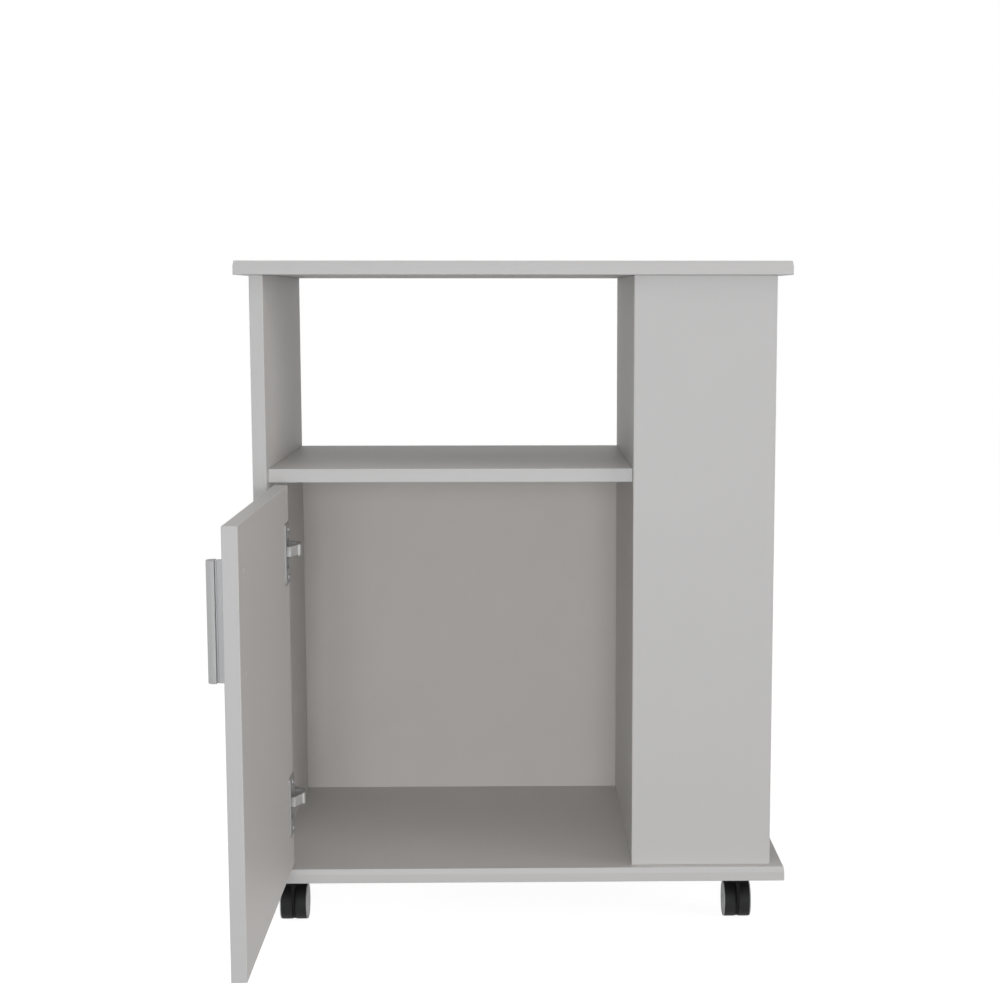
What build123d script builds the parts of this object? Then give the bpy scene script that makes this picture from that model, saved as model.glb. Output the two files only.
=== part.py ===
from build123d import *
import os

# Microwave pantry cabinet on casters, in millimetres.
# +X is the cabinet's right, +Y its rear and +Z up. The origin is on the floor,
# under the centre of the whole piece with its door open at a right angle.

# Boards
BOARD_T = 15.0
BASE_T = 16.0
BACK_T = 3.0
EDGE_RADIUS = 0.8
BACK_EDGE_RADIUS = 0.4
TOP_EDGE_LEAN = 1.0
TOP_EDGE_DROP = 6.0

# Carcass
TOP_WIDTH = 600.0
TOP_DEPTH = 390.0
SIDE_OVERHANG = 15.5
FRONT_OVERHANG = 11.0
REAR_OVERHANG = 14.0
PANEL_HEIGHT = 654.0
COLUMN_WIDTH = 155.0
NICHE_HEIGHT = 210.0
COLUMN_SHELF_COUNT = 2
BACK_PANEL_INSET = 1.0
BACK_PANEL_DROP = 2.0

# Door
DOOR_T = 15.0
DOOR_SIDE_GAP = 3.0
DOOR_TOP_GAP = 1.0
DOOR_BOTTOM_GAP = 5.0
DOOR_REAR_GAP = 1.0
DOOR_SWING = 90.0

# Pull handle, a round-backed bar on a full-length web
HANDLE_LENGTH = 114.0
HANDLE_GRIP_WIDTH = 14.0
HANDLE_GRIP_T = 8.6
HANDLE_GRIP_SIDE_T = 4.7
HANDLE_GROOVE_T = 1.6
HANDLE_GROOVE_WIDTH = 3.6
HANDLE_WEB_T = 9.2
HANDLE_WEB_WIDTH = 7.0
HANDLE_FROM_EDGE = 34.0
HANDLE_FROM_TOP = 91.5
HANDLE_SCREW_SPACING = 96.0
HANDLE_SCREW_R = 2.0
HANDLE_SCREW_BITE = 7.0
HANDLE_SCREW_HEAD_R = 4.0
HANDLE_SCREW_HEAD_T = 2.2

# Concealed hinges, with the bends of the link as a share of its run and an offset from it
HINGE_FROM_END = 72.0
LINK_SWING = 57.3
ARM_PIVOT_OUT = 32.4
ARM_PIVOT_BACK = 8.2
CUP_PIVOT_FROM_EDGE = 7.5
CUP_PIVOT_DEPTH = 4.33
CUP_R = 17.5
CUP_WALL = 1.0
CUP_DEPTH = 12.2
CUP_FLOOR_T = 0.7
CUP_FROM_EDGE = 20.5
FLANGE_T = 1.8
FLANGE_WIDTH = 38.0
FLANGE_HEIGHT = 66.0
FLANGE_CORNER_R = 3.0
CUP_SCREW_SPACING = 52.0
CUP_SCREW_R = 1.8
CUP_SCREW_HEAD_R = 3.4
CUP_SCREW_HEAD_T = 1.6
CUP_SCREW_LENGTH = 11.0
PIN_R = 1.25
PIN_CLEARANCE = 0.05
LINK_T = 1.6
LINK_WIDTH = 11.0
LINK_EYE_R = 2.3
LINK_BOW = ((0.32, 2.0), (0.82, 5.6))
ARM_WIDTH = 13.6
ARM_WALL = 1.2
ARM_NOSE_R = 2.4
ARM_FACE_BACK = 19.0
ARM_FACE_LOW = 13.0
ARM_FACE_OUT = 33.4
ARM_TOP_LENGTH = 5.0
ARM_TAIL_OUT = 11.5
ARM_TAIL_START = 45.0
ARM_TAIL_END = 80.0
ARM_HEEL_START = 38.0
ARM_OPEN_LENGTH = 3.0
ARM_SLOT_REACH = 7.2
ARM_SLOT_SPARE = 4.8
PLATE_T = 3.0
PLATE_WING_HEIGHT = 48.0
PLATE_WING_LENGTH = 16.0
PLATE_RAIL_OUT = 9.5
PLATE_RAIL_START = 46.0
PLATE_RAIL_END = 76.0
PLATE_SCREW_SPACING = 32.0
PLATE_SCREW_R = 2.0
PLATE_SCREW_HEAD_R = 3.6
PLATE_SCREW_HEAD_T = 1.8
PLATE_SCREW_LENGTH = 12.0
ARM_SCREW_R = 2.0
ARM_SCREW_HEAD_R = 3.2
ARM_SCREW_HEAD_T = 1.4
ARM_SCREW_LENGTH = 6.0

# Twin-wheel swivel casters
CASTER_HEIGHT = 55.0
CASTER_SIDE_INSET = 48.6
CASTER_END_INSET = 38.0
CASTER_TRAIL = 12.0
WHEEL_R = 20.0
WHEEL_WIDTH = 13.4
WHEEL_EDGE_RADIUS = 0.4
WHEEL_GAP = 0.4
HUB_CAP_R = 19.6
HUB_CAP_T = 1.2
HUB_CAP_RIM_T = 1.6
HUB_CAP_BOSS_R = 6.0
HUB_CAP_DISH = 0.5
YOKE_WEB_T = 3.0
YOKE_WEB_R = 19.4
YOKE_CROWN_R = 15.0
YOKE_CROWN_T = 4.2
YOKE_STEM_REACH = 12.0
SWIVEL_GAP = 0.3
AXLE_R = 3.0
AXLE_RECESS = 3.0
CASTER_PLATE_SIZE = 38.0
CASTER_PLATE_T = 2.0
CASTER_PLATE_CORNER_R = 4.0
CASTER_BOSS_R = 12.0
CASTER_BOSS_T = 2.5
KINGPIN_R = 3.0
KINGPIN_HEAD_R = 4.6
KINGPIN_HEAD_T = 2.2
KINGPIN_HEAD_CLEARANCE = 0.6
CASTER_SCREW_SPACING = 28.0
CASTER_SCREW_R = 2.0
CASTER_SCREW_HEAD_R = 3.6
CASTER_SCREW_HEAD_T = 2.0
CASTER_SCREW_BITE = 12.0
RUN_CLEARANCE = 0.05

# Screw heads are domed over this share of their height
SCREW_DOME_SHARE = 0.6

# Knock-down fittings
FIT_CLEARANCE = 0.1
DOWEL_R = 4.0
DOWEL_LENGTH = 30.0
DOWEL_END_GAP = 0.5
DOWEL_SHALLOW = 10.0
CAM_R = 7.5
CAM_DEPTH = 12.0
CAM_SETBACK = 24.0
CAM_CAP_T = 1.0
CAM_SLOT_R = 3.4
CAM_BOLT_R = 3.0
CAM_BOLT_THREAD_R = 2.5
CAM_BOLT_BITE = 11.0
CONFIRMAT_R = 3.2
CONFIRMAT_HEAD_R = 4.8
CONFIRMAT_HEAD_T = 3.0
CONFIRMAT_LENGTH = 50.0
NAIL_R = 0.8
NAIL_HEAD_R = 2.4
NAIL_HEAD_T = 0.6
NAIL_LENGTH = 18.0
NAIL_PITCH = 95.0
PANEL_FIX_INSET = 50.0
SHELF_FIX_INSET = 60.0
COLUMN_FIX_INSET = 110.0
DIVIDER_DOWEL_INSET = 90.0

# Fittings along the column's end panels, from the column's left side
COLUMN_SCREW_X = (25.0, 75.0)
COLUMN_DOWEL_X = (30.0, 125.0)

# Heights above the floor
BASE_TOP = CASTER_HEIGHT + BASE_T
TOP_UNDERSIDE = BASE_TOP + PANEL_HEIGHT
SHELF_TOP = TOP_UNDERSIDE - NICHE_HEIGHT
SHELF_UNDERSIDE = SHELF_TOP - BOARD_T
DOOR_LOW = BASE_TOP + DOOR_BOTTOM_GAP
DOOR_HIGH = SHELF_UNDERSIDE - DOOR_TOP_GAP
HINGE_HEIGHTS = {"upper": DOOR_HIGH - HINGE_FROM_END, "lower": DOOR_LOW + HINGE_FROM_END}

# Places across the cabinet
LEFT_OUTER = -TOP_WIDTH / 2 + SIDE_OVERHANG
LEFT_INNER = LEFT_OUTER + BOARD_T
COLUMN_RIGHT = TOP_WIDTH / 2 - SIDE_OVERHANG
COLUMN_LEFT = COLUMN_RIGHT - COLUMN_WIDTH
DIVIDER_RIGHT = COLUMN_LEFT + BOARD_T
DOOR_WIDTH = COLUMN_LEFT - LEFT_INNER - 2 * DOOR_SIDE_GAP

# The hinge carries the door on a link from the arm's pin to the cup's pin.
# The places below are from the panel's front edge, with the door closed,
# and the open door follows from the swing of the link and of the door.
ARM_PIN = Vector(LEFT_INNER + ARM_PIVOT_OUT, ARM_PIVOT_BACK, 0)
CUP_PIN_CLOSED = Vector(LEFT_INNER + DOOR_SIDE_GAP + CUP_PIVOT_FROM_EDGE, DOOR_T - CUP_PIVOT_DEPTH, 0)
CUP_PIN_OPEN = ARM_PIN + (CUP_PIN_CLOSED - ARM_PIN).rotate(Axis.Z, LINK_SWING)
DOOR_FREE_EDGE_OPEN = CUP_PIN_OPEN.Y - (DOOR_WIDTH - CUP_PIVOT_FROM_EDGE)

# Places along the depth, with the open door and the boards centred on the origin
BOARD_FRONT = -(DOOR_FREE_EDGE_OPEN + FRONT_OVERHANG + TOP_DEPTH) / 2
PANEL_FRONT = BOARD_FRONT + FRONT_OVERHANG
PANEL_REAR = BOARD_FRONT + TOP_DEPTH - REAR_OVERHANG
FRONT_SHIFT = Vector(0, PANEL_FRONT, 0)
ARM_PIN = ARM_PIN + FRONT_SHIFT
CUP_PIN_CLOSED = CUP_PIN_CLOSED + FRONT_SHIFT
CUP_PIN_OPEN = CUP_PIN_OPEN + FRONT_SHIFT
DOOR_BACK_CLOSED = PANEL_FRONT + DOOR_T
SHELF_FRONT = DOOR_BACK_CLOSED + DOOR_REAR_GAP

X_AXIS = Vector(1, 0, 0)
Y_AXIS = Vector(0, 1, 0)
Z_AXIS = Vector(0, 0, 1)
FROM_BASE = (Align.CENTER, Align.CENTER, Align.MIN)

nodes = {}
cuts = {}


def add(name, *solids):
    """Put solids into a named node."""
    nodes.setdefault(name, []).extend(solids)


def cut(name, *tools):
    """Note holes to be cut from a board once all its fittings are placed."""
    cuts.setdefault(name, []).extend(tools)


def block(low, high, radius=0.0):
    """A box between two corners, with all its edges rounded."""
    low = Vector(low)
    high = Vector(high)
    size = high - low
    solid = Pos((low + high) / 2) * Box(size.X, size.Y, size.Z)
    return fillet(solid.edges(), radius) if radius else solid


def eased_board(low, high):
    """A board whose four sides lean in near its upper face, rounded above and below."""
    solid = block(low, high)
    top = solid.faces().sort_by(Axis.Z)[-1]
    solid = chamfer(top.edges(), TOP_EDGE_LEAN, TOP_EDGE_DROP, reference=top)
    upper = solid.faces().sort_by(Axis.Z)[-1].edges()
    lower = solid.faces().sort_by(Axis.Z)[0].edges()
    return fillet(upper + lower, EDGE_RADIUS)


def rod(start, axis, length, radius):
    """A cylinder from a start point along an axis."""
    return Plane(origin=start, z_dir=axis) * Cylinder(radius, length, align=FROM_BASE)


def prism(outline, z_low, z_high):
    """A face in the XY plane, drawn out between two heights."""
    return Pos(0, 0, z_low) * extrude(outline, z_high - z_low)


def headed_screw(seat, axis, radius, length, head_radius, head_height, sink=0.0):
    """A pan-head screw, or a countersunk one where sink is the cone's depth."""
    shank = rod(seat, axis, length, radius)
    if sink:
        cone = Cone(head_radius, radius, sink, align=FROM_BASE)
        return shank + Plane(origin=seat, z_dir=axis) * cone
    head = rod(seat, axis * -1, head_height, head_radius)
    dome = head.edges().filter_by(GeomType.CIRCLE).sort_by(lambda e: e.center().dot(axis))[0]
    return shank + fillet(dome, head_height * SCREW_DOME_SHARE)


# Boards

add("base_board", eased_board(
    (-TOP_WIDTH / 2, BOARD_FRONT, CASTER_HEIGHT), (TOP_WIDTH / 2, BOARD_FRONT + TOP_DEPTH, BASE_TOP)))
add("top_board", eased_board(
    (-TOP_WIDTH / 2, BOARD_FRONT, TOP_UNDERSIDE),
    (TOP_WIDTH / 2, BOARD_FRONT + TOP_DEPTH, TOP_UNDERSIDE + BOARD_T)))
add("left_side_panel", block(
    (LEFT_OUTER, PANEL_FRONT, BASE_TOP), (LEFT_INNER, PANEL_REAR, TOP_UNDERSIDE), EDGE_RADIUS))
add("column_front_panel", block(
    (COLUMN_LEFT, PANEL_FRONT, BASE_TOP),
    (COLUMN_RIGHT, PANEL_FRONT + BOARD_T, TOP_UNDERSIDE), EDGE_RADIUS))
add("column_rear_panel", block(
    (COLUMN_LEFT, PANEL_REAR - BOARD_T, BASE_TOP),
    (COLUMN_RIGHT, PANEL_REAR, TOP_UNDERSIDE), EDGE_RADIUS))
add("divider_panel", block(
    (COLUMN_LEFT, PANEL_FRONT + BOARD_T, BASE_TOP),
    (DIVIDER_RIGHT, PANEL_REAR - BOARD_T, TOP_UNDERSIDE), EDGE_RADIUS))
add("middle_shelf", block(
    (LEFT_INNER, SHELF_FRONT, SHELF_UNDERSIDE), (COLUMN_LEFT, PANEL_REAR, SHELF_TOP), EDGE_RADIUS))
add("lower_back_panel", block(
    (LEFT_OUTER + BACK_PANEL_INSET, PANEL_REAR, BASE_TOP),
    (DIVIDER_RIGHT - BACK_PANEL_INSET, PANEL_REAR + BACK_T, SHELF_TOP - BACK_PANEL_DROP),
    BACK_EDGE_RADIUS))

column_bay = (PANEL_HEIGHT - COLUMN_SHELF_COUNT * BOARD_T) / (COLUMN_SHELF_COUNT + 1)
column_shelves = {}
for level in range(COLUMN_SHELF_COUNT):
    underside = BASE_TOP + column_bay + level * (column_bay + BOARD_T)
    shelf_name = f"column_shelf_{level + 1}"
    column_shelves[shelf_name] = underside
    add(shelf_name, block(
        (DIVIDER_RIGHT, PANEL_FRONT + BOARD_T, underside),
        (COLUMN_RIGHT, PANEL_REAR - BOARD_T, underside + BOARD_T), EDGE_RADIUS))


# Knock-down fittings

def add_dowel(board_a, board_b, point, axis, reach_b=DOWEL_LENGTH / 2):
    """A wooden dowel across a joint, reaching reach_b into the second board."""
    reach_a = DOWEL_LENGTH - reach_b
    length = DOWEL_LENGTH - 2 * DOWEL_END_GAP
    add("wooden_dowels", rod(point - axis * (reach_a - DOWEL_END_GAP), axis, length, DOWEL_R))
    hole_radius = DOWEL_R + FIT_CLEARANCE
    cut(board_a, rod(point, axis * -1, reach_a, hole_radius))
    cut(board_b, rod(point, axis, reach_b, hole_radius))


def add_cam(cam_board, bolt_board, point, axis, face_normal):
    """A cam lock in one board that draws a bolt screwed into the other.

    The point is on the joint, at mid-thickness of the cam's board. A cap
    closes the cam's bore flush with the board's face.
    """
    centre = point - axis * CAM_SETBACK
    face = centre + face_normal * (BOARD_T / 2)
    inwards = face_normal * -1
    channel = rod(point, axis * -1, CAM_SETBACK, CAM_SLOT_R)
    cam_face = face + inwards * CAM_CAP_T
    add("cam_locks", rod(cam_face, inwards, CAM_DEPTH - CAM_CAP_T, CAM_R) - channel)
    add("cam_cover_caps", rod(face, inwards, CAM_CAP_T, CAM_R))
    shank = rod(point, axis * -1, CAM_SETBACK - FIT_CLEARANCE, CAM_BOLT_R)
    thread = rod(point, axis, CAM_BOLT_BITE, CAM_BOLT_THREAD_R)
    add("cam_bolts", shank + thread)
    cut(cam_board, rod(face, inwards, CAM_DEPTH + FIT_CLEARANCE, CAM_R + FIT_CLEARANCE), channel)
    cut(bolt_board, rod(point, axis, CAM_BOLT_BITE + FIT_CLEARANCE, CAM_BOLT_THREAD_R + RUN_CLEARANCE))


def add_confirmat(x, y, board):
    """A countersunk confirmat screw up through the base into a standing board."""
    seat = Vector(x, y, CASTER_HEIGHT)
    add("confirmat_screws", headed_screw(
        seat, Z_AXIS, CONFIRMAT_R, CONFIRMAT_LENGTH, CONFIRMAT_HEAD_R, 0, CONFIRMAT_HEAD_T))
    hole = headed_screw(
        seat, Z_AXIS, CONFIRMAT_R + RUN_CLEARANCE, CONFIRMAT_LENGTH + FIT_CLEARANCE,
        CONFIRMAT_HEAD_R + RUN_CLEARANCE, 0, CONFIRMAT_HEAD_T + RUN_CLEARANCE)
    cut("base_board", hole)
    cut(board, hole)


panel_mid_y = (PANEL_FRONT + PANEL_REAR) / 2
left_mid_x = (LEFT_OUTER + LEFT_INNER) / 2
divider_mid_x = (COLUMN_LEFT + DIVIDER_RIGHT) / 2
column_ends = {
    "column_front_panel": (PANEL_FRONT + BOARD_T / 2, Y_AXIS),
    "column_rear_panel": (PANEL_REAR - BOARD_T / 2, Y_AXIS * -1),
}

for board_name, mid_x in (("left_side_panel", left_mid_x), ("divider_panel", divider_mid_x)):
    for fix_y in (PANEL_FRONT + BOARD_T + PANEL_FIX_INSET, PANEL_REAR - BOARD_T - PANEL_FIX_INSET):
        add_confirmat(mid_x, fix_y, board_name)
        add_cam(board_name, "top_board", Vector(mid_x, fix_y, TOP_UNDERSIDE), Z_AXIS, X_AXIS)
    add_dowel(board_name, "top_board", Vector(mid_x, panel_mid_y, TOP_UNDERSIDE), Z_AXIS, DOWEL_SHALLOW)

for board_name, (mid_y, inwards) in column_ends.items():
    for offset in COLUMN_SCREW_X:
        add_confirmat(COLUMN_LEFT + offset, mid_y, board_name)
    add_cam(board_name, "top_board",
            Vector(COLUMN_LEFT + COLUMN_WIDTH / 2, mid_y, TOP_UNDERSIDE), Z_AXIS, inwards)
    for offset in COLUMN_DOWEL_X:
        add_dowel(board_name, "top_board",
                  Vector(COLUMN_LEFT + offset, mid_y, TOP_UNDERSIDE), Z_AXIS, DOWEL_SHALLOW)
    joint_y = mid_y + inwards.Y * BOARD_T / 2
    outwards = inwards * -1
    for dowel_z in (BASE_TOP + DIVIDER_DOWEL_INSET, TOP_UNDERSIDE - DIVIDER_DOWEL_INSET):
        add_dowel("divider_panel", board_name,
                  Vector(divider_mid_x, joint_y, dowel_z), outwards, DOWEL_SHALLOW)
    for shelf_name, underside in column_shelves.items():
        middle = Vector((DIVIDER_RIGHT + COLUMN_RIGHT) / 2, joint_y, underside + BOARD_T / 2)
        add_dowel(shelf_name, board_name, middle, outwards, DOWEL_SHALLOW)

for shelf_name, underside in column_shelves.items():
    for fix_y in (PANEL_FRONT + COLUMN_FIX_INSET, PANEL_REAR - COLUMN_FIX_INSET):
        add_cam(shelf_name, "divider_panel",
                Vector(DIVIDER_RIGHT, fix_y, underside + BOARD_T / 2), X_AXIS * -1, Z_AXIS * -1)

for fix_y in (SHELF_FRONT + SHELF_FIX_INSET, PANEL_REAR - SHELF_FIX_INSET):
    shelf_mid_z = SHELF_UNDERSIDE + BOARD_T / 2
    add_cam("middle_shelf", "left_side_panel",
            Vector(LEFT_INNER, fix_y, shelf_mid_z), X_AXIS * -1, Z_AXIS * -1)
    add_cam("middle_shelf", "divider_panel",
            Vector(COLUMN_LEFT, fix_y, shelf_mid_z), X_AXIS, Z_AXIS * -1)


def add_nail(x, z, board):
    """A flat-headed nail through the back panel into a board."""
    seat = Vector(x, PANEL_REAR + BACK_T, z)
    inwards = Y_AXIS * -1
    head = rod(seat, Y_AXIS, NAIL_HEAD_T, NAIL_HEAD_R)
    add("back_panel_nails", rod(seat, inwards, NAIL_LENGTH, NAIL_R) + head)
    hole = rod(seat, inwards, NAIL_LENGTH + FIT_CLEARANCE, NAIL_R + RUN_CLEARANCE)
    cut("lower_back_panel", hole)
    cut(board, hole)


nail_span = SHELF_UNDERSIDE - BASE_TOP
nail_rows = int(nail_span // NAIL_PITCH)
for row in range(nail_rows):
    nail_z = BASE_TOP + nail_span * (row + 0.5) / nail_rows
    add_nail(left_mid_x, nail_z, "left_side_panel")
    add_nail(divider_mid_x, nail_z, "column_rear_panel")
shelf_span = COLUMN_LEFT - LEFT_INNER
shelf_nails = int(shelf_span // NAIL_PITCH)
for column in range(shelf_nails):
    nail_x = LEFT_INNER + shelf_span * (column + 0.5) / shelf_nails
    add_nail(nail_x, SHELF_UNDERSIDE + BOARD_T / 2, "middle_shelf")


# Door, modelled shut and then swung open about its hinges

DOOR_EDGE_X = LEFT_INNER + DOOR_SIDE_GAP
DOOR_FREE_X = DOOR_EDGE_X + DOOR_WIDTH
open_door = Pos(CUP_PIN_OPEN) * Rot(0, 0, -DOOR_SWING) * Pos(CUP_PIN_CLOSED * -1)
door_solids = {"door_panel": [block(
    (DOOR_EDGE_X, PANEL_FRONT, DOOR_LOW), (DOOR_FREE_X, DOOR_BACK_CLOSED, DOOR_HIGH), EDGE_RADIUS)]}
door_cuts = []


def handle_profile():
    """The pull's section, with the door's face at Y = 0 and the grip at negative Y."""
    grip_back = -(HANDLE_WEB_T + HANDLE_GROOVE_T)
    grip_side = HANDLE_GRIP_WIDTH / 2
    shoulder = grip_back - HANDLE_GRIP_SIDE_T
    crown = grip_back - HANDLE_GRIP_T
    with BuildSketch() as section:
        with BuildLine():
            Line((-grip_side, grip_back), (-grip_side, shoulder))
            ThreePointArc((-grip_side, shoulder), (0, crown), (grip_side, shoulder))
            Line((grip_side, shoulder), (grip_side, grip_back))
            Line((grip_side, grip_back), (-grip_side, grip_back))
        make_face()
        with Locations((0, -(HANDLE_WEB_T + HANDLE_GROOVE_T / 2))):
            Rectangle(HANDLE_GROOVE_WIDTH, HANDLE_GROOVE_T)
        with Locations((0, -HANDLE_WEB_T / 2)):
            Rectangle(HANDLE_WEB_WIDTH, HANDLE_WEB_T)
    return section.sketch


handle_x = DOOR_FREE_X - HANDLE_FROM_EDGE
handle_mid_z = DOOR_HIGH - HANDLE_FROM_TOP
handle_bar = prism(handle_profile(), -HANDLE_LENGTH / 2, HANDLE_LENGTH / 2)
handle_bar = Pos(handle_x, PANEL_FRONT, handle_mid_z) * handle_bar
door_solids["handle_screws"] = []
for side in (-1, 1):
    seat = Vector(handle_x, DOOR_BACK_CLOSED, handle_mid_z + side * HANDLE_SCREW_SPACING / 2)
    screw_length = DOOR_T + HANDLE_SCREW_BITE
    door_solids["handle_screws"].append(headed_screw(
        seat, Y_AXIS * -1, HANDLE_SCREW_R, screw_length, HANDLE_SCREW_HEAD_R, 0, HANDLE_SCREW_HEAD_T))
    screw_hole = headed_screw(
        seat, Y_AXIS * -1, HANDLE_SCREW_R + RUN_CLEARANCE, screw_length + FIT_CLEARANCE,
        HANDLE_SCREW_HEAD_R + RUN_CLEARANCE, 0, HANDLE_SCREW_HEAD_T + RUN_CLEARANCE)
    door_cuts.append(screw_hole)
    handle_bar = handle_bar - screw_hole
door_solids["door_handle"] = [handle_bar]


# Concealed hinges

def arm_outline(inset):
    """The arm's side view beyond its nose, drawn smaller by the inset."""
    x0 = LEFT_INNER
    y0 = PANEL_FRONT
    outer_x = x0 + ARM_FACE_OUT
    corners = [
        (x0 + ARM_FACE_LOW + inset, y0 + ARM_FACE_BACK + inset),
        (outer_x - inset, y0 + ARM_FACE_BACK + inset),
        (outer_x - inset, y0 + ARM_FACE_BACK + ARM_TOP_LENGTH),
        (x0 + ARM_TAIL_OUT - inset, y0 + ARM_TAIL_START),
        (x0 + ARM_TAIL_OUT - inset, y0 + ARM_TAIL_END - inset),
        (x0 + PLATE_T + FIT_CLEARANCE, y0 + ARM_TAIL_END - inset),
        (x0 + PLATE_T + FIT_CLEARANCE, y0 + ARM_HEEL_START),
    ]
    return make_face(Polyline(*corners, close=True))


def nose_outline(nose_back):
    """The rounded end of the arm, round its pin."""
    width = 2 * ARM_NOSE_R
    length = nose_back.Y - ARM_PIN.Y
    disc = Pos(ARM_PIN.X, ARM_PIN.Y) * Circle(ARM_NOSE_R)
    strip = Pos(ARM_PIN.X, ARM_PIN.Y + length / 2) * Rectangle(width, length)
    return disc + strip


def make_arm(z):
    """A pressed-steel channel, from its cranked nose down to the side panel."""
    half = ARM_WIDTH / 2
    inner_half = half - ARM_WALL
    nose_back = ARM_PIN + Y_AXIS * (ARM_FACE_BACK - ARM_PIVOT_BACK + ARM_WALL)
    nose = prism(nose_outline(nose_back), z - half, z + half)
    body = prism(arm_outline(0.0), z - half, z + half)
    arm = nose + body
    arm = arm - prism(arm_outline(ARM_WALL), z - inner_half, z + inner_half)
    slot_left = ARM_PIN.X - ARM_SLOT_REACH
    slot_back = PANEL_FRONT + ARM_FACE_BACK
    web_x = ARM_PIN.X + ARM_NOSE_R - ARM_WALL
    open_back = ARM_PIN.Y + ARM_OPEN_LENGTH
    arm = arm - block((slot_left, ARM_PIN.Y - ARM_SLOT_SPARE, z - inner_half),
                      (ARM_PIN.X + ARM_SLOT_SPARE, open_back, z + inner_half))
    arm = arm - block((slot_left, ARM_PIN.Y, z - inner_half), (web_x, slot_back, z + inner_half))
    arm = arm - rod(ARM_PIN + Z_AXIS * (z - half), Z_AXIS, ARM_WIDTH, PIN_R)
    screw_y = PANEL_FRONT + (PLATE_RAIL_START + PLATE_RAIL_END) / 2
    return arm - rod(Vector(LEFT_INNER, screw_y, z), X_AXIS, ARM_PIVOT_OUT, ARM_SCREW_R + FIT_CLEARANCE)


def make_plate(z):
    """The mounting plate on the side panel, a cross with a rail inside the arm."""
    y0 = PANEL_FRONT
    wing_y = y0 + (PLATE_RAIL_START + PLATE_RAIL_END) / 2
    rail_half = ARM_WIDTH / 2 - ARM_WALL - FIT_CLEARANCE
    wings = block((LEFT_INNER, wing_y - PLATE_WING_LENGTH / 2, z - PLATE_WING_HEIGHT / 2),
                  (LEFT_INNER + PLATE_T, wing_y + PLATE_WING_LENGTH / 2, z + PLATE_WING_HEIGHT / 2))
    wings = fillet(wings.edges().filter_by(Axis.X), FLANGE_CORNER_R)
    foot = block((LEFT_INNER, y0 + PLATE_RAIL_START, z - rail_half),
                 (LEFT_INNER + PLATE_RAIL_OUT, y0 + PLATE_RAIL_END, z + rail_half))
    return wings + foot, wing_y


def make_link(z):
    """The bowed link, with an eye round each pin, at the open position."""
    half = LINK_WIDTH / 2
    run = CUP_PIN_OPEN - ARM_PIN
    side = run.rotate(Axis.Z, 90).normalized()
    bow = [ARM_PIN + run * share + side * offset for share, offset in LINK_BOW]
    path = Polyline(*[(p.X, p.Y) for p in (ARM_PIN, *bow, CUP_PIN_OPEN)])
    strip = trace(path, line_width=LINK_T)
    eyes = [Pos(p.X, p.Y) * Circle(LINK_EYE_R) for p in (ARM_PIN, CUP_PIN_OPEN)]
    holes = [Pos(p.X, p.Y) * Circle(PIN_R + PIN_CLEARANCE) for p in (ARM_PIN, CUP_PIN_OPEN)]
    outline = strip + eyes[0] + eyes[1] - holes[0] - holes[1]
    return prism(outline, z - half, z + half)


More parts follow.
